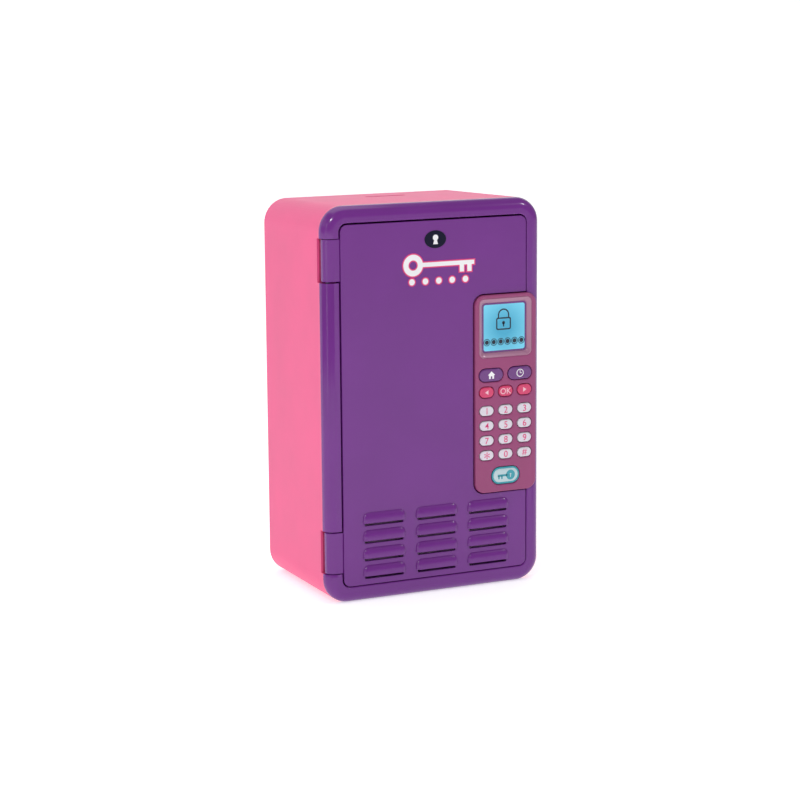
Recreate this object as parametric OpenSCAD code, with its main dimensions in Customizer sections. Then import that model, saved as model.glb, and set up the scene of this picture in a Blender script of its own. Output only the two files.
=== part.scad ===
// Toy safe coin bank: a drafted tub with a bezel frame, a hinged locker door cut out round a fixed
// keypad console, a motor-driven bolt, a coin slot in the roof and a battery box in the back.
// Every module is drawn with the front face on y = 0 and the back at y = cabinet_d; placed() moves
// it so that the origin is the centre of the base.

/* [Cabinet] */
// Width across the front
cabinet_w = 170; // [166:1:176]
// Height
cabinet_h = 280; // [278:1:284]
// Depth from the front face to the back
cabinet_d = 114; // [113:1:120]
// Corner radius seen from the front
corner_r = 17.5; // [16:0.5:19]
// How far each side and the roof draw in towards the back
draft = 2.6; // [0:0.2:3]
// Wall thickness of the tub
wall = 2.4; // [2:0.2:2.6]

/* [Frame] */
// Width of the bezel from the outer face to the door opening
bezel = 11.6; // [11.4:0.1:12]
// Rounding between the side and the front of the bezel
bezel_r = 7.5; // [7:0.5:7.5]
// Depth at which the frame meets the tub
seam_y = 8; // [7.8:0.1:8.2]
// Wall thickness of the frame
frame_t = 2.2; // [2:0.1:2.4]

/* [Door] */
// Thickness of the whole door
door_t = 13; // [12.8:0.1:13.2]
// Gap along the hinge edge and the top
gap_wide = 1.1; // [0.9:0.1:1.2]
// Gap along the free edge and the bottom
gap_fine = 0.6; // [0.5:0.1:0.8]
// Length of each hinge knuckle
knuckle_l = 29.4; // [28:0.2:30]
// Height of each knuckle's middle above or below mid-height
knuckle_z = 103.1; // [102:0.1:104]
// Distance of the hinge axis from the side and from the front
hinge_in = 5; // [4.9:0.1:5.1]
// Diameter of the hinge pins
pin_d = 3; // [2.6:0.1:3]

/* [Louvres] */
// Length of a louvre
louvre_w = 30; // [26:1:32]
// Height of a louvre's hood
louvre_h = 7.5; // [7:0.1:8]
// How far a hood stands out
louvre_out = 2.4; // [2:0.1:2.5]
// Spacing between louvre columns
louvre_dx = 41.4; // [40:0.2:42]
// Spacing between louvre rows
louvre_dz = 12.7; // [12.4:0.1:13]

/* [Console] */
// Width of the keypad console
console_w = 49.2; // [48.8:0.1:49.6]
// Height of the keypad console
console_h = 143.2; // [142.8:0.1:143.6]
// Corner radius of the console
console_r = 7.5; // [7:0.5:8]
// How far the console stands proud of the door
console_out = 2; // [1.8:0.1:2.1]
// Travel of every key
key_travel = 1.2; // [1:0.1:1.3]
// Side of the square screen window
screen_w = 35.4; // [34:0.1:36]

/* [Coin slot] */
// Length of the coin slot
slot_l = 32; // [28:1:34]
// Width of the coin slot
slot_w = 4.8; // [4.6:0.1:5]

/* [Hidden] */
$fn = 48;
eps = 0.05;
mid_z = cabinet_h / 2;
proud = louvre_out;
shift_y = -(cabinet_d - proud) / 2;
open_w = cabinet_w - 2 * bezel;
open_h = cabinet_h - 2 * bezel;

door_x0 = -open_w / 2 + gap_wide;
door_x1 = open_w / 2 - gap_fine;
door_z0 = bezel + gap_fine;
door_z1 = cabinet_h - bezel - gap_wide;
door_r = 5;
skin_t = 2.4;
door_liner_t = 1.6;
door_wall_t = 1.8;
door_set_in = 1.4;
skin_back = door_t - door_liner_t;

hinge_x = -cabinet_w / 2 + hinge_in;
knuckle_r = 4.5;
relief_r = 7.3;
relief_back = 11.6;
trough_t = 1.6;
notch_out = 0.4;
notch_in = 0.9;
ear_l = 4;
frame_back = 15;
pin_l = knuckle_l + 8;

console_x = 55.5;
console_z = 140.6;
console_gap = 0.7;
plate_t = 2.2;
plate_back = plate_t - console_out;
skirt_t = 2;
skirt_back = 12.3;
pod_back = 34;
pod_x0 = console_x - console_w / 2;
pod_x1 = open_w / 2 - 0.5;
window_x = 55.3;
window_z = 188.3;
window_bevel = 3.4;

key_dx = 15.3;
key_x = 55.3;
key_flange_y = plate_back + 0.2;
key_flange_t = 1;
key_gap = 0.25;
key_top = -console_out - 0.2;
mat_front = key_flange_y + key_flange_t + key_travel + 0.3;
mat_back = 4;
board_front = 4.2;
board_t = 1.6;

liner_t = 1.6;
liner_front = frame_back + 0.1;
liner_back = 91.6;
shelf_z = 196;
shelf_front = 40;
shelf_t = 2;
shelf_lip = 14;
slot_y = 80;
chute_z = 262;
chute_wall = 2;
cable_y = 24;
cable_z = 100;
cable_r = 2.5;

box_z = 62;
box_w = 57.8;
box_h = 64;
box_front = 94.4;
box_t = 1.6;
cell_d = 14.2;
cell_l = 49.2;
cell_pitch = 15.2;
cell_y = 103.5;
hatch_w = 62;
hatch_h = 74;
hatch_screw_z = box_z + 33;
inner_back = cabinet_d - wall;

bolt_z = console_z;
bolt_h = 8;
bolt_y0 = 7;
bolt_y1 = 10.4;
rack_m = 1;
rack_teeth = 10;
wheel_m = 0.8;
wheel_teeth = 24;
drive_teeth = 8;
pressure = 20;
gear_x = 50;
gear_z = bolt_z + bolt_h / 2 + rack_m * rack_teeth / 2 - 1;
drive_gap = wheel_m * (wheel_teeth + drive_teeth) / 2;
bracket_x0 = 41;
bracket_x1 = 65;

speaker_x = -42;
speaker_z = 214;
louvre_x0 = 0.4;
louvre_z0 = 18.6;
badge_x = 0.4;
badge_z = 254;
cabinet_screws = [[-62, 22], [62, 22], [-62, 140], [62, 140], [-62, 258], [62, 258]];
door_screws = [[-58, 74], [-58, 138], [-58, 250], [58, 250], [-4, 74], [60, 40]];
console_screws = [[37.5, 76], [69.5, 76], [36.5, 163.6], [69, 163.6]];
boss_r = 2.6;

// name, x from the middle column, z, width, height
KEYS = [
    ["key_home", -11.6, 154.6, 19.2, 9.2], ["key_clock", 11.6, 154.6, 19.2, 9.2],
    ["key_left", -key_dx, 142.3, 11.4, 7.6], ["key_ok", 0, 142.3, 11.4, 7.6],
    ["key_right", key_dx, 142.3, 11.4, 7.6],
    ["key_1", -key_dx, 128.8, 11.2, 6.8], ["key_2", 0, 128.8, 11.2, 6.8],
    ["key_3", key_dx, 128.8, 11.2, 6.8],
    ["key_4", -key_dx, 118, 11.2, 6.8], ["key_5", 0, 118, 11.2, 6.8],
    ["key_6", key_dx, 118, 11.2, 6.8],
    ["key_7", -key_dx, 107.2, 11.2, 6.8], ["key_8", 0, 107.2, 11.2, 6.8],
    ["key_9", key_dx, 107.2, 11.2, 6.8],
    ["key_star", -key_dx, 96.4, 11.2, 6.8], ["key_0", 0, 96.4, 11.2, 6.8],
    ["key_hash", key_dx, 96.4, 11.2, 6.8],
    ["key_unlock", 0, 80.8, 22.4, 12.2]
];
KEY_NODES = [for (k = KEYS) k[0]];

// ---- helpers ----

// Moves a piece from the drawing frame to the origin at the centre of the base.
module placed() translate([0, shift_y, 0]) children();

// Extrudes a shape drawn in x and z between two depths.
module along_y(y0, y1) translate([0, y1, 0]) rotate([90, 0, 0]) linear_extrude(y1 - y0) children();

// A cylinder along y, between two depths.
module rod_y(x, z, r, y0, y1) translate([x, y1, z]) rotate([90, 0, 0]) cylinder(r = r, h = y1 - y0);

module block(x0, x1, y0, y1, z0, z1) translate([x0, y0, z0]) cube([x1 - x0, y1 - y0, z1 - z0]);

module rounded_rect(w, h, r) {
    square([w - 2 * r, h], center = true);
    square([w, h - 2 * r], center = true);
    for (x = [-1, 1], z = [-1, 1])
        translate([x * (w / 2 - r), z * (h / 2 - r)]) circle(r);
}

module stadium(w, h) {
    square([w - h, h], center = true);
    for (x = [-1, 1]) translate([x * (w - h) / 2, 0]) circle(h / 2);
}

// A pan-head screw whose head starts at depth y and whose shank runs forward to y - len.
module screw(x, z, y, len, r = 1.1) {
    difference() {
        union() {
            rod_y(x, z, 2.6, y, y + 1.6);
            rod_y(x, z, r, y - len, y + eps);
        }
        block(x - 1.5, x + 1.5, y + 0.8, y + 2, z - 0.3, z + 0.3);
        block(x - 0.3, x + 0.3, y + 0.8, y + 2, z - 1.5, z + 1.5);
    }
}

// A point of the smooth curve through four neighbouring points.
function curve_point(a, b, c, d, t) = 0.5 * (2 * b + (c - a) * t + (2 * a - 5 * b + 4 * c - d) * t * t
    + (3 * b - a - 3 * c + d) * t * t * t);
function smooth_path(pts, steps) = let (last = len(pts) - 1) concat(
    [for (i = [0 : last - 1], k = [0 : steps - 1])
        curve_point(pts[max(i - 1, 0)], pts[i], pts[i + 1], pts[min(i + 2, last)], k / steps)],
    [pts[last]]);
function unit(v) = v / norm(v);

// A wire of radius r swept along a path; no stretch of the path may run along side.
module wire(path, r, side, sides = 8) {
    last = len(path) - 1;
    rings = [for (i = [0 : last])
        let (t = unit(path[min(i + 1, last)] - path[max(i - 1, 0)]), u = unit(cross(t, side)),
             v = cross(t, u))
        for (j = [0 : sides - 1]) path[i] + r * (cos(360 * j / sides) * u + sin(360 * j / sides) * v)];
    polyhedron(rings, concat(
        [[for (j = [0 : sides - 1]) j]],
        [[for (j = [sides - 1 : -1 : 0]) last * sides + j]],
        [for (i = [0 : last - 1], j = [0 : sides - 1])
            let (a = i * sides + j, b = i * sides + (j + 1) % sides)
            [a, a + sides, b + sides, b]]));
}

// Involute tooth flanks: half the tooth angle at radius r on a gear of n teeth.
function inv(a) = tan(a) - a * PI / 180;
function flank(n, m, r) =
    let (rb = m * n / 2 * cos(pressure), half = (90 - 12) / n)
    half + (inv(pressure) - inv(acos(min(1, rb / max(r, rb))))) * 180 / PI;
function gear_points(n, m) =
    let (root = m * (n / 2 - 1.25), rb = m * n / 2 * cos(pressure), tip = m * (n / 2 + 0.85),
         lo = max(root, rb), radii = [for (k = [0 : 4]) lo + (tip - lo) * k / 4])
    [for (i = [0 : n - 1]) let (c = 360 * i / n)
        each concat(
            [[root, c - flank(n, m, lo)]],
            [for (r = radii) [r, c - flank(n, m, r)]],
            [for (k = [4 : -1 : 0]) [radii[k], c + flank(n, m, radii[k])]],
            [[root, c + flank(n, m, lo)]])];

// A spur gear centred on the y axis, with a tooth pointing at angle turn.
module gear_2d(n, m, turn)
    polygon([for (p = gear_points(n, m)) p[0] * [cos(p[1] + turn), sin(p[1] + turn)]]);

// ---- cabinet ----

function draw_in(y) = draft * (y - seam_y) / (cabinet_d - seam_y);

// One thin slice of the tub's outside at depth y, set in all round; the base stays level.
module tub_slice(y, set_in) {
    w = cabinet_w - 2 * draw_in(y) - 2 * set_in;
    h = cabinet_h - draw_in(y) - 2 * set_in;
    translate([0, 0, set_in + h / 2]) along_y(y, y + 0.01)
        rounded_rect(w, h, max(corner_r - set_in, 4), $fn = 48);
}

module tub_outside() hull() {
    tub_slice(seam_y, 0);
    tub_slice(cabinet_d - 3, 0);
    tub_slice(cabinet_d - 1, 0.8);
    tub_slice(cabinet_d - 0.01, 2.8);
}

module tub_inside() hull() {
    tub_slice(seam_y - 1, wall);
    tub_slice(inner_back, wall);
}

// Repeats a child at both hinge knuckles.
module at_knuckles() for (s = [-1, 1]) translate([0, 0, mid_z + s * knuckle_z]) children();

// The two ends of the notch round a knuckle; s is 1 at the upper hinge and -1 at the lower.
function notch_lo(s) = mid_z + s * knuckle_z - knuckle_l / 2 - (s > 0 ? notch_in : notch_out);
function notch_hi(s) = mid_z + s * knuckle_z + knuckle_l / 2 + (s > 0 ? notch_out : notch_in);

// The cylinder round the hinge axis that a knuckle turns in, between its notch's two ends.
module hinge_cylinder(r, trim = 0) for (s = [-1, 1])
    translate([hinge_x, hinge_in, notch_lo(s) + trim])
        cylinder(r = r, h = notch_hi(s) - notch_lo(s) - 2 * trim);

module grille_holes() for (ring = [0 : 3], i = [0 : max(0, 6 * ring - 1)]) {
    a = ring == 0 ? 0 : 360 * i / (6 * ring);
    rod_y(speaker_x + 4.6 * ring * cos(a), speaker_z + 4.6 * ring * sin(a), 1.2,
        inner_back - 1, cabinet_d + 1);
}

module body_tub() color("hotpink") {
    difference() {
        tub_outside();
        tub_inside();
        hinge_cylinder(relief_r);
        for (s = [-1, 1]) block(-cabinet_w / 2 - 1, -cabinet_w / 2 + wall, 0, relief_back,
            notch_lo(s), notch_hi(s));
        translate([0, slot_y, cabinet_h - 10]) linear_extrude(20) stadium(slot_l, slot_w);
        block(-hatch_w / 2, hatch_w / 2, inner_back - 1, cabinet_d + 1,
            box_z - hatch_h / 2, box_z + hatch_h / 2);
        grille_holes();
        for (p = cabinet_screws) {
            rod_y(p[0], p[1], 1.5, inner_back - 1, cabinet_d + 1);
            rod_y(p[0], p[1], 3.4, inner_back + 0.8, cabinet_d + 1);
        }
    }
    // troughs that close the cabinet behind the knuckles
    intersection() {
        difference() {
            hinge_cylinder(relief_r + trough_t, 0.1);
            hinge_cylinder(relief_r);
        }
        block(-cabinet_w / 2 + 1.5, hinge_x + 10, hinge_in + 3.5, 20, 0, cabinet_h);
    }
}

// The frame's outside in section: x is inward from the outer face, y is depth.
module bezel_outside(depth) {
    translate([bezel_r, 0]) square([bezel - bezel_r - 0.8, depth]);
    translate([0, bezel_r]) square([bezel, depth - bezel_r]);
    translate([bezel_r, 0.8]) square([bezel - bezel_r, depth - 0.8]);
    intersection() {
        translate([bezel_r, bezel_r]) circle(bezel_r);
        square(bezel_r + eps);
    }
    translate([bezel - 0.8, 0.8]) circle(0.8);
}

module bezel_section() {
    difference() {
        bezel_outside(seam_y);
        translate([frame_t, bezel_r]) square([bezel - 2 * frame_t, 5]);
        translate([bezel_r, frame_t]) square([bezel - bezel_r - frame_t, 10]);
        translate([bezel_r, bezel_r]) circle(bezel_r - frame_t);
    }
    translate([bezel - frame_t, seam_y - 1]) square([frame_t, frame_back - seam_y + 1]);
}

// Sweeps a bezel section round the frame.
module bezel_sweep() {
    w = cabinet_w / 2;
    long = cabinet_h - 2 * corner_r;
    wide = cabinet_w - 2 * corner_r;
    translate([-w, 0, corner_r]) linear_extrude(long) children();
    translate([w, 0, corner_r]) linear_extrude(long) mirror([1, 0]) children();
    translate([-wide / 2, 0, cabinet_h]) rotate([0, 90, 0]) linear_extrude(wide) children();
    translate([wide / 2, 0, 0]) rotate([0, -90, 0]) linear_extrude(wide) children();
    for (c = [[1, 1, -90], [1, -1, 0], [-1, -1, 90], [-1, 1, 180]])
        translate([c[0] * wide / 2, 0, mid_z + c[1] * long / 2]) rotate([-90, 0, 0])
            rotate([0, 0, c[2]]) rotate_extrude(angle = 90)
                translate([corner_r, 0]) mirror([1, 0]) children();
}

// Solid lengths of the frame at the ends of each notch, which hold the hinge pins.
module hinge_ears() for (s = [-1, 1], e = [-1, 1]) {
    gap = s == e ? notch_out : notch_in;
    z = mid_z + s * knuckle_z + e * (knuckle_l / 2 + gap + ear_l / 2);
    translate([-cabinet_w / 2, 0, z - ear_l / 2]) linear_extrude(ear_l) {
        bezel_outside(seam_y);
        translate([wall + 0.3, seam_y - 1]) square([bezel - wall - 0.3, frame_back - seam_y]);
    }
}

module console_outline(grow = 0)
    translate([console_x, console_z])
        rounded_rect(console_w + 2 * grow, console_h + 2 * grow, console_r + grow);

module front_frame() color("rebeccapurple") difference() {
    union() {
        difference() {
            bezel_sweep() bezel_section();
            for (s = [-1, 1]) block(-cabinet_w / 2 - 1, -cabinet_w / 2 + bezel + 1,
                -1, frame_back - 2.1, notch_lo(s), notch_hi(s));
        }
        hinge_ears();
    }
    at_knuckles() translate([hinge_x, hinge_in, -pin_l / 2]) cylinder(d = pin_d, h = pin_l);
    // room for the console
    along_y(-1, frame_back + 1) console_outline(0.1);
}

module inner_liner() color("plum") {
    w = open_w + 2 * liner_t;
    h = open_h + 2 * liner_t;
    difference() {
        block(-w / 2, w / 2, liner_front, liner_back, bezel - liner_t, bezel - liner_t + h);
        block(-open_w / 2, open_w / 2, liner_front - 1, liner_back - liner_t, bezel, bezel + open_h);
        // opening under the coin chute and the cable hole to the console
        block(-slot_l / 2 - chute_wall - 0.4, slot_l / 2 + chute_wall + 0.4,
            slot_y - slot_w / 2 - chute_wall - 0.4, slot_y + slot_w / 2 + chute_wall + 0.4,
            cabinet_h - bezel - 1, cabinet_h);
        translate([open_w / 2 - 1, cable_y, cable_z]) rotate([0, 90, 0]) cylinder(r = cable_r, h = 5);
    }
    for (p = cabinet_screws) difference() {
        rod_y(p[0], p[1], 4, liner_back - eps, inner_back - 0.1);
        rod_y(p[0], p[1], 1.1, liner_back + 4, inner_back + 1);
    }
    for (s = [-1, 1])
        block(s > 0 ? open_w / 2 - 3 : -open_w / 2 - eps, s > 0 ? open_w / 2 + eps : -open_w / 2 + 3,
            shelf_front + 2, liner_back - liner_t + eps, shelf_z - 2.2, shelf_z - 0.1);
}

module coin_shelf() color("orchid") {
    w = open_w - 0.6;
    back = liner_back - liner_t - 0.2;
    top = shelf_z + shelf_lip;
    block(-w / 2, w / 2, shelf_front, back, shelf_z, shelf_z + shelf_t);
    block(-w / 2, w / 2, shelf_front, shelf_front + shelf_t, shelf_z, top);
    for (s = [-1, 1])
        block(s > 0 ? w / 2 - shelf_t : -w / 2, s > 0 ? w / 2 : -w / 2 + shelf_t,
            shelf_front, back, shelf_z, top);
}

module coin_chute() color("plum") {
    top = cabinet_h - draw_in(slot_y) - wall - 0.2;
    difference() {
        union() {
            translate([0, slot_y, chute_z]) linear_extrude(top - chute_z)
                square([slot_l + 2 * chute_wall, slot_w + 2 * chute_wall], center = true);
            translate([0, slot_y, cabinet_h - bezel + liner_t + 0.2]) linear_extrude(1.6)
                square([slot_l + 12, slot_w + 12], center = true);
        }
        translate([0, slot_y, chute_z - 1]) linear_extrude(40) stadium(slot_l, slot_w);
    }
}

module hinge_pins() color("silver") at_knuckles()
    translate([hinge_x, hinge_in, -pin_l / 2]) cylinder(d = pin_d, h = pin_l);

module cabinet_screws() color("silver")
    for (p = cabinet_screws) screw(p[0], p[1], inner_back + 0.8, 12);

// ---- console ----

module key_stadium(k, grow) translate([key_x + k[1], k[2]]) stadium(k[3] + 2 * grow, k[4] + 2 * grow);

module console_shell() color("mediumvioletred") difference() {
    union() {
        difference() {
            along_y(-console_out, skirt_back) console_outline();
            along_y(plate_back, skirt_back + 1) console_outline(-skirt_t);
        }
        for (p = console_screws) rod_y(p[0], p[1], boss_r, plate_back - eps, skirt_back);
    }
    hull() {
        for (p = [[-console_out - eps, window_bevel], [plate_back + eps, 0]])
            translate([window_x, 0, window_z]) along_y(p[0] - 0.01, p[0])
                rounded_rect(screen_w + 2 * p[1], screen_w + 2 * p[1], 3, $fn = 32);
    }
    for (k = KEYS) {
        along_y(-console_out - 1, plate_back + 1) key_stadium(k, key_gap);
        along_y(-console_out - 1, -console_out + 0.7) key_stadium(k, 0.9);
    }
    for (p = console_screws) rod_y(p[0], p[1], 1.1, 3, skirt_back + 1);
    // the bolt's way out
    block(pod_x0 - 1, pod_x0 + 3, bolt_y0 - 0.2, bolt_y1 + 0.2,
        bolt_z - bolt_h / 2 - 0.2, bolt_z + bolt_h / 2 + 0.2);
}

module console_back() color("plum") {
    x0 = pod_x0 + 0.6;
    z0 = console_z - console_h / 2 + 0.8;
    z1 = console_z + console_h / 2 - 0.8;
    flange_back = skirt_back + 2.1;
    difference() {
        union() {
            along_y(skirt_back + 0.1, flange_back) console_outline(-0.6);
            block(x0, pod_x1, flange_back - eps, pod_back, z0 + 4, z1 - 4);
        }
        block(x0 + 2, pod_x1 - 2, skirt_back - 1, pod_back - 2, z0 + 6, z1 - 6);
        for (p = console_screws) rod_y(p[0], p[1], 1.3, skirt_back, pod_back + 1);
        translate([pod_x1 - 3, cable_y, cable_z]) rotate([0, 90, 0]) cylinder(r = cable_r, h = 5);
    }
    for (p = console_screws) difference() {
        rod_y(p[0], p[1], 3.4, skirt_back + 0.1, pod_back - 1);
        rod_y(p[0], p[1], 1.3, skirt_back, pod_back);
    }
}

module console_screws() color("silver")
    for (p = console_screws) screw(p[0], p[1], pod_back, 24);

module lcd_lens() color("lightcyan", 0.4)
    along_y(plate_back + 0.05, plate_back + 0.85) translate([window_x, window_z]) square(39.6, center = true);

module lcd_panel() color("deepskyblue") {
    along_y(plate_back + 0.9, plate_back + 3.4)
        translate([window_x, window_z]) square([40, 41], center = true);
    along_y(plate_back + 3.3, plate_back + 3.9)
        translate([window_x, window_z - 1]) square([38, 38], center = true);
}

module keypad_mat() color("lightgray") {
    difference() {
        along_y(mat_front, mat_back) translate([key_x, 117.3]) rounded_rect(43, 86, 5);
        for (p = console_screws) rod_y(p[0], p[1], boss_r + 0.3, 2, 5);
    }
    for (k = KEYS) along_y(mat_back - eps, mat_back + 0.15) key_stadium(k, -1.6);
}

module keypad_board() color("seagreen") {
    difference() {
        along_y(board_front, board_front + board_t) translate([54.3, console_z]) rounded_rect(42, 136, 5);
        for (p = console_screws) rod_y(p[0], p[1], boss_r + 0.3, 4, 6);
    }
    block(58, 64, 5.7, 8.4, 92, 104);
    block(44, 52, 5.7, 7, 190, 198);
}

module key(k) {
    tone = k[3] > 20 ? "turquoise" : k[3] > 15 ? "rebeccapurple" : k[4] > 7 ? "crimson" : "white";
    color(tone) {
        along_y(key_top + 0.5, key_flange_y + key_flange_t) key_stadium(k, 0);
        along_y(key_top, key_top + 0.6) key_stadium(k, -0.5);
        along_y(key_flange_y, key_flange_y + key_flange_t) key_stadium(k, 0.7);
    }
}

// ---- lock ----

module lock_bolt() color("white") difference() {
    tail = 66;
    union() {
        block(pod_x0 + 0.2, tail, bolt_y0, bolt_y1, bolt_z - bolt_h / 2, bolt_z + bolt_h / 2 - 3.4);
        block(pod_x0 + 0.2, 36, bolt_y0, bolt_y1, bolt_z - bolt_h / 2, bolt_z + bolt_h / 2);
        along_y(bolt_y0, bolt_y1) rack_2d(tail);
    }
    block(44, 60, bolt_y0 - 1, bolt_y1 + 1, bolt_z - 3, bolt_z - 2);
}

// Rack teeth along the top of the bolt, with a space under the gear's middle.
module rack_2d(tail) {
    pitch = PI * rack_m;
    line = gear_z - rack_m * rack_teeth / 2;
    half = pitch / 4 - 0.12;
    spread = tan(pressure);
    polygon(concat(
        [[tail, bolt_z - 1], [36.5, bolt_z - 1], [36.5, line - 1.25]],
        [for (i = [-3 : 4]) let (c = gear_x + (i - 0.5) * pitch) each [
            [c - half - 1.25 * spread, line - 1.25],
            [c - half + 0.8 * spread, line + 0.8],
            [c + half - 0.8 * spread, line + 0.8],
            [c + half + 1.25 * spread, line - 1.25]]],
        [[tail, line - 1.25]]));
}

module lock_gear() color("ivory") translate([gear_x, 0, gear_z]) difference() {
    union() {
        along_y(bolt_y0, bolt_y1 + 0.6) gear_2d(rack_teeth, rack_m, 90);
        along_y(bolt_y1 + 0.6, bolt_y1 + 2.6) gear_2d(wheel_teeth, wheel_m, 90);
    }
    along_y(bolt_y0 - 1, bolt_y1 + 4) circle(1.05);
}

module gear_shaft() color("silver") rod_y(gear_x, gear_z, 1, bolt_y0 - 0.6, 16);

module motor_pinion() color("gold") translate([gear_x, 0, gear_z + drive_gap])
    along_y(bolt_y1 + 0.4, bolt_y1 + 2.8) difference() {
        gear_2d(drive_teeth, wheel_m, -90 + 180 / drive_teeth);
        circle(0.8);
    }

module lock_bracket() color("dimgray") difference() {
    union() {
        block(bracket_x0, bracket_x1, 13.8, 15.4, bolt_z - 8, gear_z + drive_gap + 8);
        // channel that the bolt slides in
        block(bracket_x0, 64, bolt_y0 - 0.5, 15, bolt_z - 7, bolt_z - bolt_h / 2 - 0.1);
        block(bracket_x0, 64, bolt_y1 + 0.1, 15, bolt_z - 7, bolt_z - 3.2);
    }
    rod_y(gear_x, gear_z, 1, 10, 20);
    rod_y(gear_x, gear_z + drive_gap, 3.1, 10, 20);
}

module lock_motor() color("silver") translate([gear_x, 0, gear_z + drive_gap]) {
    along_y(15.5, 30) intersection() {
        circle(6);
        square([12, 10], center = true);
    }
    rod_y(0, 0, 3, 14, 15.6);
    rod_y(0, 0, 0.75, bolt_y1 + 0.2, 15);
    rod_y(0, 0, 2, 29.9, 31);
}

// ---- power and sound ----

module battery_box() color("dimgray") {
    top = box_z + box_h / 2;
    difference() {
        union() {
            block(-box_w / 2, box_w / 2, box_front, inner_back - 0.1, box_z - box_h / 2, top);
            // boss for the door's screw
            block(-4, 4, 100, inner_back - 0.3, top - eps, top + 5);
        }
        block(-box_w / 2 + box_t, box_w / 2 - box_t, box_front + box_t, inner_back + 1,
            box_z - box_h / 2 + box_t, top - box_t);
        rod_y(0, hatch_screw_z, 1.2, 99, inner_back + 1);
    }
    for (i = [-1 : 1]) block(-box_w / 2 + 1, box_w / 2 - 1, box_front + 1, box_front + 4,
        box_z + i * cell_pitch - 0.4, box_z + i * cell_pitch + 0.4);
}

function cell_z(i) = box_z + (i - 1.5) * cell_pitch;
function cell_way(i) = i % 2 == 0 ? 1 : -1;

module batteries() color("darkorange") for (i = [0 : 3]) translate([0, cell_y, cell_z(i)])
    rotate([0, 90 * cell_way(i), 0]) translate([0, 0, -cell_l / 2 - 0.5 + 1.6]) {
        cylinder(d = cell_d, h = cell_l);
        cylinder(d = 5.4, h = cell_l + 1.1);
    }

module battery_contacts() color("silver") for (i = [0 : 3], s = [-1, 1])
    block(s > 0 ? box_w / 2 - box_t - 0.45 : -box_w / 2 + box_t + 0.05,
        s > 0 ? box_w / 2 - box_t - 0.05 : -box_w / 2 + box_t + 0.45,
        cell_y - 5.5, cell_y + 5.5, cell_z(i) - 5.5, cell_z(i) + 5.5);

// A conical coil spring along +z, as one swept wire.
module coil_spring(r0, r1, h, turns, wire_r) {
    steps = 14 * turns;
    wire([for (i = [0 : steps]) let (f = i / steps, r = r0 + (r1 - r0) * f)
        [r * cos(360 * turns * f), r * sin(360 * turns * f), h * f]], wire_r, [0, 0, 1], 6);
}

module battery_springs() color("silver") for (i = [0 : 3])
    translate([-cell_way(i) * (box_w / 2 - box_t - 0.9), cell_y, cell_z(i)])
        rotate([0, 90 * cell_way(i), 0]) coil_spring(4.6, 2.8, 2.4, 2, 0.3);

module hatch_outline(w, h) translate([0, box_z]) rounded_rect(w, h, 2);

module battery_door() color("hotpink") difference() {
    union() {
        along_y(inner_back + 0.2, cabinet_d) hatch_outline(hatch_w - 0.8, hatch_h - 0.8);
        for (s = [-1, 1]) block(s * 18 - 5, s * 18 + 5, inner_back - 0.6, inner_back + 0.4,
            box_z - 26, box_z + 26);
    }
    rod_y(0, hatch_screw_z, 1.5, inner_back - 2, cabinet_d + 1);
    rod_y(0, hatch_screw_z, 2.9, cabinet_d - 1.6, cabinet_d + 1);
    for (z = [-30 : 3 : -24]) block(-8, 8, cabinet_d - 0.6, cabinet_d + 1, box_z + z, box_z + z + 1.4);
}

module battery_door_screw() color("silver") screw(0, hatch_screw_z, cabinet_d - 1.6, 9);

module speaker() color("dimgray") translate([speaker_x, 0, speaker_z]) {
    rod_y(0, 0, 18, inner_back - 2.2, inner_back - 0.2);
    rod_y(0, 0, 14, inner_back - 6, inner_back - 2);
    rod_y(0, 0, 9, inner_back - 13, inner_back - 5.9);
}

module main_board() color("seagreen") {
    block(4, 66, 93.2, 94.8, 152, 212);
    block(20, 34, 94.7, 96.4, 175, 189);
    block(44, 50, 94.7, 100, 196, 202);
    block(12, 18, 94.7, 97, 158, 166);
    block(58, 64, 94.7, 99, 160, 172);
}

// The console's cable, and the leads to the battery box and the speaker.
console_cable = [[61, 10.1, 98], [61, 17, 98], [66, 23, 100], [74, 24, 100], [77.6, 28, 101],
    [77.6, 60, 106], [77.6, 92, 112], [77, 98, 124], [77, 98, 152], [73, 98, 165], [65.6, 98, 166]];
battery_lead = [[15, 97.8, 161], [15, 100, 150], [15, 102, 130], [15, 102, 94.8]];
speaker_lead = [[11.2, 96, 162], [0, 98, 170], [-20, 101, 188], [-31, 104.7, 203]];

module wire_harness() color("dimgray") {
    wire(smooth_path(console_cable, 3), 1.5, [1, 1, -1]);
    wire(smooth_path(battery_lead, 3), 0.7, [1, 0, 0]);
    wire(smooth_path(speaker_lead, 3), 0.7, [0, 1, 0]);
}

// ---- door ----

module door_outline(set_in) difference() {
    translate([(door_x0 + door_x1) / 2, (door_z0 + door_z1) / 2])
        rounded_rect(door_x1 - door_x0 - 2 * set_in, door_z1 - door_z0 - 2 * set_in, door_r - set_in);
    console_outline(console_gap + set_in);
    translate([console_x, console_z - console_h / 2 - console_gap - set_in])
        square([100, console_h + 2 * console_gap + 2 * set_in]);
}

// A knuckle's section: the bezel's own rounding in front, a barrel round the pin behind.
module knuckle_section() difference() {
    union() {
        intersection() {
            bezel_outside(seam_y + 6);
            translate([hinge_in, hinge_in]) circle(knuckle_r);
        }
        intersection() {
            bezel_outside(seam_y + 6);
            translate([1.5, 0]) square([bezel, 2.8]);
        }
        translate([bezel - 2, 0]) square([4, skin_t]);
    }
    translate([hinge_in, hinge_in]) circle(pin_d / 2 + 0.05);
    translate([bezel + 1, 0]) rotate(45) square(0.9, center = true);
}

function louvre_centre() = (louvre_h * louvre_h / louvre_out - louvre_out) / 2;

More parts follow.
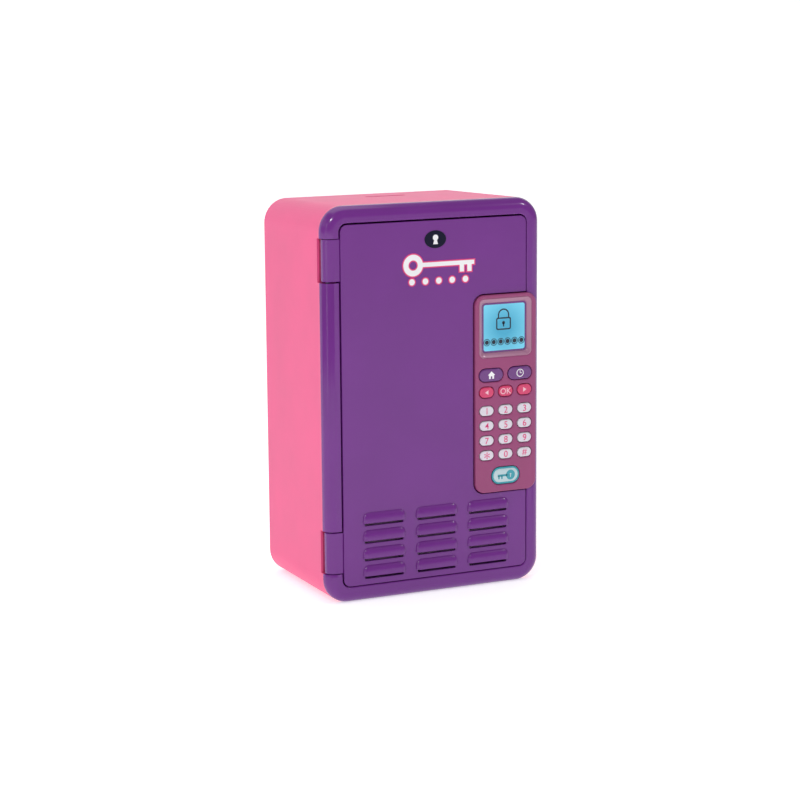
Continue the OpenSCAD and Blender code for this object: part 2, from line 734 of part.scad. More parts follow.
// One louvre: a hood open along its lower edge.
module louvre_hood() {
    r = louvre_centre() + louvre_out;
    module bulge(rr, w) intersection() {
        translate([-w / 2, louvre_centre(), 0]) rotate([0, 90, 0]) cylinder(r = rr, h = w);
        block(-w / 2, w / 2, -louvre_out - 1, eps, 0, louvre_h);
    }
    difference() {
        bulge(r, louvre_w + 3);
        translate([0, 0, -eps]) bulge(r - 1.4, louvre_w);
    }
}

function louvre_x(i) = louvre_x0 + (i - 1) * louvre_dx;
function louvre_z(j) = louvre_z0 + j * louvre_dz;

module door_skin() color("rebeccapurple") {
    difference() {
        union() {
            along_y(0, skin_t) door_outline(0);
            along_y(skin_t - eps, skin_back) difference() {
                door_outline(door_set_in);
                door_outline(door_set_in + door_wall_t);
            }
            for (p = door_screws) rod_y(p[0], p[1], 3, skin_t - eps, skin_back);
        }
        for (i = [0 : 2], j = [0 : 3])
            translate([louvre_x(i) - louvre_w / 2, -1, louvre_z(j) - 1.2]) cube([louvre_w, skin_t + 2, 5.4]);
        for (p = door_screws) rod_y(p[0], p[1], 1.1, skin_t + 1, skin_back + 1);
        // the bolt's way through the edge wall
        block(24, pod_x0 - 1, bolt_y0 - 0.6, bolt_y1 + 0.6,
            bolt_z - bolt_h / 2 - 0.8, bolt_z + bolt_h / 2 + 0.8);
    }
    at_knuckles() translate([-cabinet_w / 2, 0, -knuckle_l / 2]) linear_extrude(knuckle_l)
        knuckle_section();
    for (i = [0 : 2], j = [0 : 3]) translate([louvre_x(i), 0, louvre_z(j)]) louvre_hood();
}

module door_liner() color("plum") difference() {
    along_y(skin_back + 0.02, door_t) door_outline(door_set_in);
    for (p = door_screws) rod_y(p[0], p[1], 1.4, skin_back - 1, door_t + 1);
}

module door_screws() color("silver") for (p = door_screws) screw(p[0], p[1], door_t, 8);

module door_catch() color("silver") {
    x = pod_x0 - console_gap - door_set_in - door_wall_t;
    difference() {
        block(x - 1.3, x - 0.05, 3, skin_back - 0.1, bolt_z - 9, bolt_z + 9);
        block(x - 2, x + 1, bolt_y0 - 0.4, bolt_y1 + 0.4,
            bolt_z - bolt_h / 2 - 0.6, bolt_z + bolt_h / 2 + 0.6);
    }
    block(x - 8, x - 1.2, skin_t + 0.05, skin_t + 1.3, bolt_z - 9, bolt_z + 9);
    block(x - 2.4, x - 1.2, skin_t + 0.05, 4, bolt_z - 9, bolt_z + 9);
}

module door_badge() color("midnightblue") rod_y(badge_x, badge_z, 7, -0.6, -0.02);

placed() body_tub();
placed() front_frame();
placed() inner_liner();
placed() coin_shelf();
placed() coin_chute();
placed() console_shell();
placed() console_back();
placed() lcd_lens();
placed() lcd_panel();
placed() keypad_mat();
placed() keypad_board();
placed() main_board();
placed() battery_box();
placed() batteries();
placed() battery_contacts();
placed() battery_springs();
placed() speaker();
placed() hinge_pins();
placed() lock_motor();
placed() lock_bracket();
placed() gear_shaft();
placed() cabinet_screws();
placed() console_screws();
placed() wire_harness();
placed() door_skin();
placed() door_liner();
placed() door_catch();
placed() door_screws();
placed() door_badge();
placed() lock_gear();
placed() motor_pinion();
placed() lock_bolt();
placed() battery_door();
placed() battery_door_screw();
for (k = KEYS) placed() key(k);
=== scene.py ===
import math

import bmesh
import bpy
from mathutils import Matrix, Vector


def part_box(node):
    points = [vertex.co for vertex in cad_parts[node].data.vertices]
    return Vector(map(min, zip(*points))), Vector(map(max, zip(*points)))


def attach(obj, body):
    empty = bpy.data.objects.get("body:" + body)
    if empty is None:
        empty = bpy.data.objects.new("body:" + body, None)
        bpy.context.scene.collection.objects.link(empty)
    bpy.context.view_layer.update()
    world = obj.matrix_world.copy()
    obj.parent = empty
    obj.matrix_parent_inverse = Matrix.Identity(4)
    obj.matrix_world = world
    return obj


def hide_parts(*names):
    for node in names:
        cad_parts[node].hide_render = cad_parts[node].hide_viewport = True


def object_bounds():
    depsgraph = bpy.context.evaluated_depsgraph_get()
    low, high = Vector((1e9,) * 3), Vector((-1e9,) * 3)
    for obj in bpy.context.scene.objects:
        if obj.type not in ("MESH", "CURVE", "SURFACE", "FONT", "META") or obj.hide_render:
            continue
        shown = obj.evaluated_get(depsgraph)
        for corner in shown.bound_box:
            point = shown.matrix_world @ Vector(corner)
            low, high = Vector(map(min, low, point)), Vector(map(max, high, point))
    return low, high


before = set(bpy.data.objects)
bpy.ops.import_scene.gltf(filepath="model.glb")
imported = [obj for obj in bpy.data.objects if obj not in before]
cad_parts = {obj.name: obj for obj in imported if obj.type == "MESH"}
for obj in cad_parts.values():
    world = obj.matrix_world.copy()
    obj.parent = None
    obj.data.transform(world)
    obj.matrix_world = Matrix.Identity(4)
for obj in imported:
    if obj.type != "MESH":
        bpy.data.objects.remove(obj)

CAD_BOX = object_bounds()
MM = 0.001

# ---- sizes that the CAD model doesn't state directly, in millimetres ----
DOOR_LIP = 1.4          # the door's front skin stands this far outside its liner
DOOR_CORNER = 5.0
DOOR_SKIN = 2.4
DOOR_WALL = 1.8
CONSOLE_GAP = 0.7
CONSOLE_CORNER = 7.5
CONSOLE_PLATE = 2.2
BEZEL = 11.6
BEZEL_ROUND = 7.5
KEY_FLANGE = 0.7
KEY_OPENING = 0.9
WINDOW = 35.4
WINDOW_BEVEL = 3.4
HINGE_IN = 5.0
KNUCKLE_LENGTH = 29.4
KNUCKLE_INSET = 0.5     # the knuckle stands this far behind the frame's surface
BARREL = 4.5
PIN_OVERHANG = 4.0      # each hinge pin reaches this far past its knuckle
LOUVRE_LENGTH = 30.0
LOUVRE_END = 1.5
LOUVRE_HEIGHT = 7.5
LOUVRE_OUT = 2.4
LOUVRE_COLUMNS = (-41.0, 0.4, 41.8)
LOUVRE_ROWS = (18.6, 31.3, 44.0, 56.7)
SLOT_HEIGHT = 2.1
BOLT_FRONT = 7.0        # the bolt's depth range behind the frame's front, and its height
BOLT_BACK = 10.4
BOLT_HEIGHT = 8.0
BADGE_X, BADGE_Z = 0.4, 254
MOTIF_X, MOTIF_Z = -17, 236.5

FACE_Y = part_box("front_frame")[0].y / MM        # the front of the bezel frame
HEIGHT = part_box("front_frame")[1].z / MM


# ---- materials ----

def plastic(name, colour, rough=0.3, coat=0.25, grain=0.012, tint=0.05, texture_mm=0.5, **inputs):
    """A moulded plastic: faint flow marks in its colour and gloss, and a fine moulding texture."""
    mat = bpy.data.materials.new(name)
    mat.use_nodes = True
    nodes, links = mat.node_tree.nodes, mat.node_tree.links
    shader = nodes["Principled BSDF"]
    place = nodes.new("ShaderNodeTexCoord")
    flow = nodes.new("ShaderNodeTexNoise")
    flow.inputs["Scale"].default_value = 22
    flow.inputs["Detail"].default_value = 3
    ramp = nodes.new("ShaderNodeValToRGB")
    ramp.color_ramp.elements[0].position = 0.25
    ramp.color_ramp.elements[1].position = 0.75
    ramp.color_ramp.elements[0].color = (*[c * (1 - tint) for c in colour], 1)
    ramp.color_ramp.elements[1].color = (*[min(1, c * (1 + tint)) for c in colour], 1)
    gloss = nodes.new("ShaderNodeMapRange")
    gloss.inputs["To Min"].default_value = rough - 0.04
    gloss.inputs["To Max"].default_value = rough + 0.05
    fine = nodes.new("ShaderNodeTexNoise")
    fine.inputs["Scale"].default_value = 1 / (texture_mm * MM)
    fine.inputs["Detail"].default_value = 2
    bump = nodes.new("ShaderNodeBump")
    bump.inputs["Strength"].default_value = 0.25
    bump.inputs["Distance"].default_value = grain * MM
    links.new(place.outputs["Object"], flow.inputs["Vector"])
    links.new(place.outputs["Object"], fine.inputs["Vector"])
    links.new(flow.outputs["Fac"], ramp.inputs["Fac"])
    links.new(ramp.outputs["Color"], shader.inputs["Base Color"])
    links.new(flow.outputs["Fac"], gloss.inputs["Value"])
    links.new(gloss.outputs["Result"], shader.inputs["Roughness"])
    links.new(fine.outputs["Fac"], bump.inputs["Height"])
    links.new(bump.outputs["Normal"], shader.inputs["Normal"])
    shader.inputs["Coat Weight"].default_value = coat
    shader.inputs["Coat Roughness"].default_value = 0.12
    for key, value in inputs.items():
        shader.inputs[key.replace("_", " ")].default_value = value
    return mat


def metal(name, colour, rough=0.3):
    """A plated or machined metal with faint wear in its gloss."""
    return plastic(name, colour, rough, coat=0.0, grain=0.004, tint=0.08, texture_mm=0.25, Metallic=1.0)


def lcd_material():
    """A backlit display: cyan, paler towards its edges."""
    mat = plastic("lcd_backlight", (0.1, 0.5, 0.8), 0.35, coat=0.0)
    nodes, links = mat.node_tree.nodes, mat.node_tree.links
    shader = nodes["Principled BSDF"]
    place = nodes.new("ShaderNodeTexCoord")
    centre = nodes.new("ShaderNodeVectorMath")
    centre.operation = "SUBTRACT"
    low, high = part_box("lcd_panel")
    centre.inputs[1].default_value = (low + high) / 2
    length = nodes.new("ShaderNodeVectorMath")
    length.operation = "LENGTH"
    ramp = nodes.new("ShaderNodeValToRGB")
    ramp.color_ramp.elements[0].color = (0.043, 0.28, 0.43, 1)
    ramp.color_ramp.elements[1].color = (0.145, 0.49, 0.65, 1)
    reach = nodes.new("ShaderNodeMapRange")
    reach.inputs["From Min"].default_value = 0.006
    reach.inputs["From Max"].default_value = 0.024
    links.new(place.outputs["Object"], centre.inputs[0])
    links.new(centre.outputs["Vector"], length.inputs[0])
    links.new(length.outputs["Value"], reach.inputs["Value"])
    links.new(reach.outputs["Result"], ramp.inputs["Fac"])
    links.new(ramp.outputs["Color"], shader.inputs["Base Color"])
    links.new(ramp.outputs["Color"], shader.inputs["Emission Color"])
    shader.inputs["Emission Strength"].default_value = 0.45
    return mat


PINK = plastic("pink_plastic", (0.86, 0.105, 0.28), 0.42, coat=0.0, Specular_IOR_Level=0.3)
PURPLE = plastic("purple_plastic", (0.155, 0.021, 0.235), 0.17, coat=0.1, Specular_IOR_Level=0.4)
MAUVE = plastic("mauve_plastic", (0.30, 0.05, 0.165), 0.3, coat=0.1, Specular_IOR_Level=0.4)
# The window surround: the console's mauve made paler and greyer, a painted sheen of light on its sloped
# walls.
WINDOW_TRIM_PAINTED_SHEEN = plastic("window_trim_painted_sheen", (0.38, 0.16, 0.27), 0.25, coat=0.5)
WHITE_KEY = plastic("white_key", (0.70, 0.66, 0.74), 0.3)
RED_KEY = plastic("red_key", (0.64, 0.035, 0.14), 0.28)
PURPLE_KEY = plastic("purple_key", (0.14, 0.03, 0.2), 0.26)
PALE_KEY = plastic("pale_key", (0.50, 0.64, 0.68), 0.28)
TEAL = plastic("teal_print", (0.03, 0.33, 0.41), 0.35, grain=0.004)
NAVY = plastic("navy_badge", (0.006, 0.006, 0.024), 0.3, coat=0.0, Specular_IOR_Level=0.15)
WHITE_INK = plastic("white_ink", (0.86, 0.85, 0.88), 0.45, coat=0.0, grain=0.004)
PINK_INK = plastic("pink_ink", (0.72, 0.04, 0.2), 0.45, coat=0.0, grain=0.004)
PALE_INK = plastic("pale_ink", (0.86, 0.52, 0.60), 0.45, coat=0.0, grain=0.004)
SCREEN_INK = plastic("screen_ink", (0.01, 0.02, 0.04), 0.5, coat=0.0, grain=0.004)
LCD = lcd_material()
LILAC = plastic("lilac_plastic", (0.46, 0.26, 0.50), 0.45, coat=0.0)
DARK = plastic("dark_plastic", (0.03, 0.03, 0.035), 0.5, coat=0.0)
SILICONE = plastic("grey_silicone", (0.5, 0.5, 0.5), 0.6, coat=0.0)
BOARD = plastic("solder_mask", (0.02, 0.19, 0.08), 0.35, tint=0.15)
JACKET = plastic("cell_jacket", (0.70, 0.24, 0.03), 0.3, tint=0.12)
NYLON = plastic("nylon", (0.78, 0.76, 0.68), 0.45, coat=0.0)
STEEL = metal("zinc_plate", (0.62, 0.62, 0.64))
GUNMETAL = metal("dark_steel", (0.10, 0.10, 0.11), 0.4)
BRASS = metal("brass", (0.72, 0.50, 0.20))

NODE_MATERIALS = {
    "body_tub": PINK, "battery_door": PINK, "front_frame": PURPLE, "door_skin": PURPLE,
    "console_shell": MAUVE, "lcd_panel": LCD, "keypad_mat": SILICONE, "keypad_board": BOARD,
    "main_board": BOARD, "batteries": JACKET, "door_badge": NAVY, "wire_harness": DARK,
    "speaker": STEEL, "lock_motor": STEEL, "lock_gear": NYLON, "motor_pinion": BRASS,
    "lock_bolt": NYLON, "battery_box": DARK, "lock_bracket": DARK, "battery_contacts": STEEL,
    "battery_springs": STEEL, "hinge_pins": GUNMETAL, "gear_shaft": STEEL, "cabinet_screws": STEEL,
    "console_screws": STEEL, "door_catch": STEEL, "door_screws": STEEL,
    "battery_door_screw": STEEL,
}


# ---- mesh helpers: outlines are drawn in x and z, in millimetres ----

UPRIGHT = Matrix.Rotation(math.pi / 2, 4, "X")

def arc(cx, cz, r, start, end, steps=8):
    """Points round a centre between two angles, in degrees."""
    turns = [math.radians(start + (end - start) * i / steps) for i in range(steps + 1)]
    return [(cx + r * math.cos(a), cz + r * math.sin(a)) for a in turns]


def rounded(x0, x1, z0, z1, r, steps=8):
    return (arc(x1 - r, z0 + r, r, -90, 0, steps) + arc(x1 - r, z1 - r, r, 0, 90, steps)
            + arc(x0 + r, z1 - r, r, 90, 180, steps) + arc(x0 + r, z0 + r, r, 180, 270, steps))


def pill(cx, cz, w, h, grow=0.0, steps=16):
    w, h = w + 2 * grow, h + 2 * grow
    return (arc(cx + (w - h) / 2, cz, h / 2, -90, 90, steps)
            + arc(cx - (w - h) / 2, cz, h / 2, 90, 270, steps))


def added(name, data):
    obj = bpy.data.objects.new(name, data)
    bpy.context.scene.collection.objects.link(obj)
    return obj


def baked(obj):
    """The mesh of an object with its curve and modifiers worked out."""
    bpy.context.view_layer.update()
    return bpy.data.meshes.new_from_object(obj.evaluated_get(bpy.context.evaluated_depsgraph_get()))


def new_object(name, mesh, material, body):
    obj = added(name, mesh)
    mesh.materials.clear()
    mesh.materials.append(material)
    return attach(obj, body)


def finish_mesh(mesh, angle=40):
    work = bmesh.new()
    work.from_mesh(mesh)
    bmesh.ops.remove_doubles(work, verts=work.verts, dist=1e-6)
    bmesh.ops.recalc_face_normals(work, faces=work.faces)
    work.to_mesh(mesh)
    work.free()
    mesh.shade_smooth()
    mesh.set_sharp_from_angle(angle=math.radians(angle))


def mesh_of(work, name, angle):
    """Turns a finished bmesh into a smooth-shaded mesh."""
    mesh = bpy.data.meshes.new(name)
    work.to_mesh(mesh)
    work.free()
    finish_mesh(mesh, angle)
    return mesh


def weigh(obj):
    """Keeps broad flat faces flat where they run into a small rounding."""
    normals = obj.modifiers.new("weighted", "WEIGHTED_NORMAL")
    normals.keep_sharp = True
    return obj


def plate(name, outlines, front, back, bevel, material, body, steps=4):
    """A flat plate between two depths with rounded edges; outlines after the first are its holes."""
    curve = bpy.data.curves.new(name, "CURVE")
    curve.dimensions = "2D"
    curve.fill_mode = "BOTH"
    curve.extrude = ((back - front) / 2 - bevel) * MM
    curve.bevel_depth = bevel * MM
    curve.bevel_resolution = steps
    curve.offset = -bevel * MM
    for outline in outlines:
        spline = curve.splines.new("POLY")
        spline.points.add(len(outline) - 1)
        for point, (x, z) in zip(spline.points, outline):
            point.co = (x * MM, z * MM, 0, 1)
        spline.use_cyclic_u = True
    drawn = added(name + "_curve", curve)
    mesh = baked(drawn)
    bpy.data.objects.remove(drawn)
    mesh.transform(Matrix.Translation((0, (front + back) / 2 * MM, 0)) @ UPRIGHT)
    finish_mesh(mesh)
    mesh.name = name
    return weigh(new_object(name, mesh, material, body))


def joined(name, objects):
    """Makes one piece of several."""
    with bpy.context.temp_override(active_object=objects[0], selected_editable_objects=objects):
        bpy.ops.object.join()
    objects[0].name = name
    return objects[0]


def open_for_bolt(obj, x0, x1, gap):
    """Cuts the bolt's way through an upright wall."""
    middle = centre_of("console_shell")[1]
    size = (x1 - x0, BOLT_BACK - BOLT_FRONT + 2 * gap, BOLT_HEIGHT + 2 * gap)
    place = ((x0 + x1) / 2, FACE_Y + (BOLT_FRONT + BOLT_BACK) / 2, middle)
    work = bmesh.new()
    shape = Matrix.Diagonal((*[v * MM for v in size], 1))
    bmesh.ops.create_cube(work, matrix=Matrix.Translation(Vector(place) * MM) @ shape)
    mesh = bpy.data.meshes.new("bolt_way")
    work.to_mesh(mesh)
    work.free()
    cutter = added("bolt_way", mesh)
    cut = obj.modifiers.new("bolt_way", "BOOLEAN")
    cut.operation = "DIFFERENCE"
    cut.solver = "EXACT"
    cut.object = cutter
    done = baked(obj)
    obj.modifiers.clear()
    obj.data = done
    bpy.data.objects.remove(cutter)


def centre_of(node):
    """The middle of a CAD node's box, across and up."""
    low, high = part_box(node)
    return (low.x + high.x) / 2 / MM, (low.z + high.z) / 2 / MM


# ---- camera, light and floor ----

def camera():
    """Looks at the middle of the front, from the left and a little above."""
    yaw, pitch, roll = (math.radians(a) for a in (25.787, 9.991, 0.437))
    aside, distance = 25.1, 1645.0
    forward = Vector((math.sin(yaw) * math.cos(pitch), math.cos(yaw) * math.cos(pitch), -math.sin(pitch)))
    level = Vector((math.cos(yaw), -math.sin(yaw), 0))
    down = forward.cross(level)
    right = math.cos(roll) * level + math.sin(roll) * down
    down = -math.sin(roll) * level + math.cos(roll) * down
    aim = Vector((0, FACE_Y, HEIGHT / 2))
    place = (aim - aside * right - distance * forward) * MM
    data = bpy.data.cameras.new("camera")
    data.lens = 104.73
    data.sensor_width = 36
    obj = added("camera", data)
    turn = Matrix((right, -down, -forward)).transposed().to_4x4()
    obj.matrix_world = Matrix.Translation(place) @ turn
    bpy.context.scene.camera = obj


def softbox(name, place, aim, size, power):
    data = bpy.data.lights.new(name, "AREA")
    data.shape = "RECTANGLE"
    data.size, data.size_y = size
    data.energy = power
    obj = added(name, data)
    obj.location = place
    obj.rotation_euler = (Vector(aim) - Vector(place)).to_track_quat("-Z", "Y").to_euler()


def backdrop():
    """A white sweep: a floor that curves up into a wall well behind the object."""
    near, bend, wall, tall, reach, steps = -6, 1.0, 2.6, 4, 5, 12
    profile = [(near, 0), (wall - bend, 0)]
    profile += [(wall - bend + bend * math.sin(a), bend - bend * math.cos(a))
                for a in (math.pi / 2 * i / steps for i in range(1, steps + 1))]
    profile.append((wall, tall))
    verts = [(x, y, z) for y, z in profile for x in (-reach, reach)]
    faces = [(2 * i, 2 * i + 1, 2 * i + 3, 2 * i + 2) for i in range(len(profile) - 1)]
    mesh = bpy.data.meshes.new("floor")
    mesh.from_pydata(verts, [], faces)
    mesh.shade_smooth()
    floor = added("floor", mesh)
    paper = plastic("white_paper", (0.9, 0.9, 0.9), 0.8, coat=0.0, tint=0.0)
    shader = paper.node_tree.nodes["Principled BSDF"]
    shader.inputs["Emission Color"].default_value = (1, 1, 1, 1)
    shader.inputs["Emission Strength"].default_value = 0.5
    shader.inputs["Specular IOR Level"].default_value = 0
    mesh.materials.append(paper)


def studio():
    """Soft light from above and both sides, with small boxes for the highlights on the rounded edges."""
    bpy.context.scene.view_settings.view_transform = "Standard"
    world = bpy.data.worlds.new("studio")
    bpy.context.scene.world = world
    world.use_nodes = True
    world.node_tree.nodes["Background"].inputs["Color"].default_value = (1, 1, 1, 1)
    world.node_tree.nodes["Background"].inputs["Strength"].default_value = 0.31
    softbox("key", (-1.0, -1.5, 1.5), (0, 0, 0.14), (0.2, 0.2), 10)
    softbox("fill", (1.3, -1.1, 1.4), (0, 0, 0.14), (0.2, 0.2), 6)
    softbox("top", (0.0, 0.2, 1.9), (0, 0, 0.1), (1.4, 1.4), 8.5)
    softbox("edge", (-1.6, -1.0, 0.5), (0, -0.05, 0.14), (0.12, 1.3), 2.2)
    softbox("side", (-2.0, 0.1, 1.3), (0, 0, 0.2), (1.0, 1.0), 2.2)
    backdrop()


# ---- the door ----

def door_outline():
    """The panel's outline, with its cut-out round the console."""
    low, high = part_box("door_liner")
    x0, x1 = low.x / MM - DOOR_LIP, high.x / MM + DOOR_LIP
    z0, z1 = low.z / MM - DOOR_LIP, high.z / MM + DOOR_LIP
    clow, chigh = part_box("console_shell")
    cx, cz0, cz1 = clow.x / MM - CONSOLE_GAP, clow.z / MM - CONSOLE_GAP, chigh.z / MM + CONSOLE_GAP
    r, inner, nose = DOOR_CORNER, CONSOLE_CORNER + CONSOLE_GAP, 0.8
    return (arc(x1 - r, z0 + r, r, -90, 0) + arc(x1 - nose, cz0 - nose, nose, 0, 90, 4)
            + arc(cx + inner, cz0 + inner, inner, 270, 180) + arc(cx + inner, cz1 - inner, inner, 180, 90)
            + arc(x1 - nose, cz1 + nose, nose, -90, 0, 4) + arc(x1 - r, z1 - r, r, 0, 90)
            + arc(x0 + r, z1 - r, r, 90, 180) + arc(x0 + r, z0 + r, r, 180, 270))


def hood_outline(inset, corner=4.2, side=4, turn=8, top=8):
    """The way round a louvre: up its left side, over the top and down, without its open bottom."""
    half, height = LOUVRE_LENGTH / 2 + LOUVRE_END - inset, LOUVRE_HEIGHT - inset
    r = max(corner - inset, 0.4)
    rise = [(-half, (height - r) * i / side) for i in range(side)]
    left = arc(-half + r, height - r, r, 180, 90, turn)
    across = [(-(half - r) * (1 - 2 * i / top), height) for i in range(1, top)]
    return rise + left + across + [(-px, pz) for px, pz in reversed(rise + left)]


def louvre_hood(x, z):
    """A pressed hood: it swells from the panel at its top and ends, and is open along its lower edge."""
    swell, rings, wall = 3.4, 9, 1.0
    work = bmesh.new()
    lips = []
    for set_in in (0, wall):
        grid = []
        for k in range(rings + 1):
            a = math.pi / 2 * k / rings
            row = []
            for px, pz in hood_outline(swell * (1 - math.cos(a))):
                lean = 1 - 0.4 * (pz / LOUVRE_HEIGHT) ** 1.5
                out = max(0, LOUVRE_OUT * math.sin(a) * lean - set_in)
                row.append(work.verts.new(((x + px) * MM, (FACE_Y - out + 0.12) * MM, (z + pz) * MM)))
            grid.append(row)
        for a, b in zip(grid, grid[1:]):
            for i in range(len(a) - 1):
                work.faces.new((a[i], a[i + 1], b[i + 1], b[i]))
        last = grid[-1]
        for i in range(len(last) // 2 - 1):
            work.faces.new((last[i], last[i + 1], last[-2 - i], last[-1 - i]))
        lips.append([row[0] for row in grid] + [row[-1] for row in reversed(grid)])
    for i in range(len(lips[0]) - 1):
        work.faces.new((lips[0][i], lips[0][i + 1], lips[1][i + 1], lips[1][i]))
    return new_object("hood", mesh_of(work, "hood", 50), PURPLE, "door")


def knuckle(z0, z1):
    """A hinge knuckle: the bezel's rounding in front, a barrel round the pin behind."""
    left, inset = CAD_BOX[0].x / MM, KNUCKLE_INSET
    front = arc(BEZEL_ROUND, BEZEL_ROUND, BEZEL_ROUND - inset, 270, 205, 14)
    round_back = arc(HINGE_IN, HINGE_IN, BARREL, 150, 0, 16)
    groove = [(BEZEL + 1.5, inset + 1.1), (BEZEL + 1.0, inset + 0.5), (BEZEL + 0.5, inset + 0.15),
              (BEZEL, inset)]
    profile = groove + front + round_back + [(BEZEL + 1.5, DOOR_SKIN + inset)]
    lip, mid = 0.35, Vector((7, 4.5))
    work = bmesh.new()
    rings = []
    for z, shrink in ((z0, lip), (z0 + lip, 0), (z1 - lip, 0), (z1, lip)):
        ring = []
        for x, y in profile:
            away = Vector((x, y)) - mid
            x, y = mid + away * (1 - shrink / max(away.length, 1))
            ring.append(work.verts.new(((left + x) * MM, (FACE_Y + y) * MM, z * MM)))
        rings.append(ring)
    count = len(profile)
    for low, high in zip(rings, rings[1:]):
        for i in range(count):
            work.faces.new((low[i], low[(i + 1) % count], high[(i + 1) % count], high[i]))
    work.faces.new(rings[0])
    work.faces.new(rings[-1])
    return weigh(new_object("knuckle", mesh_of(work, "knuckle", 35), PURPLE, "door"))


def door():
    """The pressed panel with its louvres, its edge wall and its two hinge knuckles."""
    slots = [rounded(x - LOUVRE_LENGTH / 2, x + LOUVRE_LENGTH / 2, z - SLOT_HEIGHT, z + 3, 0.4, 3)
             for x in LOUVRE_COLUMNS for z in LOUVRE_ROWS]
    panel = plate("door_panel", [door_outline()] + slots, FACE_Y, FACE_Y + DOOR_SKIN, 0.35, PURPLE, "door")
    walls = door_outline_walls(DOOR_WALL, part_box("door_liner")[0].y / MM)
    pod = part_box("console_shell")[0].x / MM
    open_for_bolt(walls, pod - 8, pod - 0.5, 0.7)
    low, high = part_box("hinge_pins")
    knuckles = [knuckle(z0, z0 + KNUCKLE_LENGTH)
                for z0 in (low.z / MM + PIN_OVERHANG, high.z / MM - PIN_OVERHANG - KNUCKLE_LENGTH)]
    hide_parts("door_skin")
    hoods = joined("door_louvres", [louvre_hood(x, z) for x in LOUVRE_COLUMNS for z in LOUVRE_ROWS])
    joined("door_knuckles", knuckles)


def door_outline_walls(thickness, back):
    """The wall round the door's edge, behind its skin."""
    def shrink(points, by):
        result = []
        for i, (x, z) in enumerate(points):
            ax, az = points[i - 1]
            bx, bz = points[(i + 1) % len(points)]
            along = Vector((bx - ax, bz - az))
            if along.length < 1e-6:
                continue
            along.normalize()
            result.append((x - along.y * by, z + along.x * by))
        return result

    outer = shrink(door_outline(), DOOR_LIP)
    return plate("door_edge_wall", [outer, shrink(outer, thickness)], FACE_Y + DOOR_SKIN - 0.1, back,
                 0.1, PURPLE, "door", 1)


def badge_and_motif():
    """A plain badge, and a key with a row of dots where the lettering would be."""
    front, thick = FACE_Y, 0.12
    oval = [(BADGE_X + 8.4 * math.cos(a), BADGE_Z + 6.2 * math.sin(a))
            for a in (2 * math.pi * i / 48 for i in range(48))]
    badge = plate("badge_oval", [oval], front - 0.45, front + 0.1, 0.25, NAVY, "door")
    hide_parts("door_badge")

    foot = BADGE_Z - 3.4
    keyhole = arc(BADGE_X, BADGE_Z + 1.2, 2.1, -60, 240, 24) + [(BADGE_X - 1.9, foot), (BADGE_X + 1.9, foot)]
    plate("badge_emblem", [keyhole], front - 0.5, front, 0.02, WHITE_INK, "door", 1)
    for ink, grow, lift, name in ((PINK_INK, 0.9, 0.0, "motif_outline"), (WHITE_INK, 0.0, 0.06, "motif_key")):
        hole = arc(MOTIF_X, MOTIF_Z, 3.6 - grow, 0, 360, 32)[:-1]
        face = front - thick - lift
        parts = [plate("part", [key_outline(grow), hole], face, front, 0.02, ink, "door", 1)]
        parts += [plate("part", [pill(-18 + 10.5 * i, 224.8, 4.4, 4.4, grow)], face, front, 0.02, ink,
                        "door", 1) for i in range(5)]
        joined(name, parts)


def key_outline(grow):
    """A key lying on its side, bow to the left and teeth down, as one outline."""
    bow, half = 7.6 + grow, 1.5 + grow
    cx, cz, tip, deep = MOTIF_X, MOTIF_Z, 31 + grow, 6.4
    join = math.degrees(math.asin(half / bow))
    teeth = []
    for x in (19.5, 25.5):
        teeth += [(x - grow, cz - half), (x - grow, cz - deep - grow), (x + 3.4 + grow, cz - deep - grow),
                  (x + 3.4 + grow, cz - half)]
    return arc(cx, cz, bow, join, 360 - join, 40) + teeth + [(tip, cz - half), (tip, cz + half)]


# ---- the console ----

def console():
    """The console's face with its openings for the window and keys, and the skirt behind it."""
    low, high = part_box("console_shell")
    x0, x1, z0, z1 = low.x / MM, high.x / MM, low.z / MM, high.z / MM
    front = low.y / MM
    wx, wz = centre_of("lcd_lens")
    half = WINDOW / 2 + WINDOW_BEVEL
    holes = [rounded(wx - half, wx + half, wz - half, wz + half, 4)]
    for node in KEYS:
        holes.append(pill(*centre_of(node), *key_size(node), KEY_OPENING - 0.5))
    shell = plate("console_face", [rounded(x0, x1, z0, z1, CONSOLE_CORNER, 14)] + holes,
                  front, front + CONSOLE_PLATE + 1.4, 0.9, MAUVE, "root")
    skirt = plate("console_skirt", [rounded(x0 + 0.05, x1 - 0.05, z0 + 0.05, z1 - 0.05, CONSOLE_CORNER, 14),
                                    rounded(x0 + 2, x1 - 2, z0 + 2, z1 - 2, CONSOLE_CORNER - 2, 14)],
                  front + CONSOLE_PLATE, high.y / MM, 0.1, MAUVE, "root", 1)
    open_for_bolt(skirt, x0 - 1, x0 + 3, 0.2)
    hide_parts("console_shell")
    screen(wx, wz, front, half)


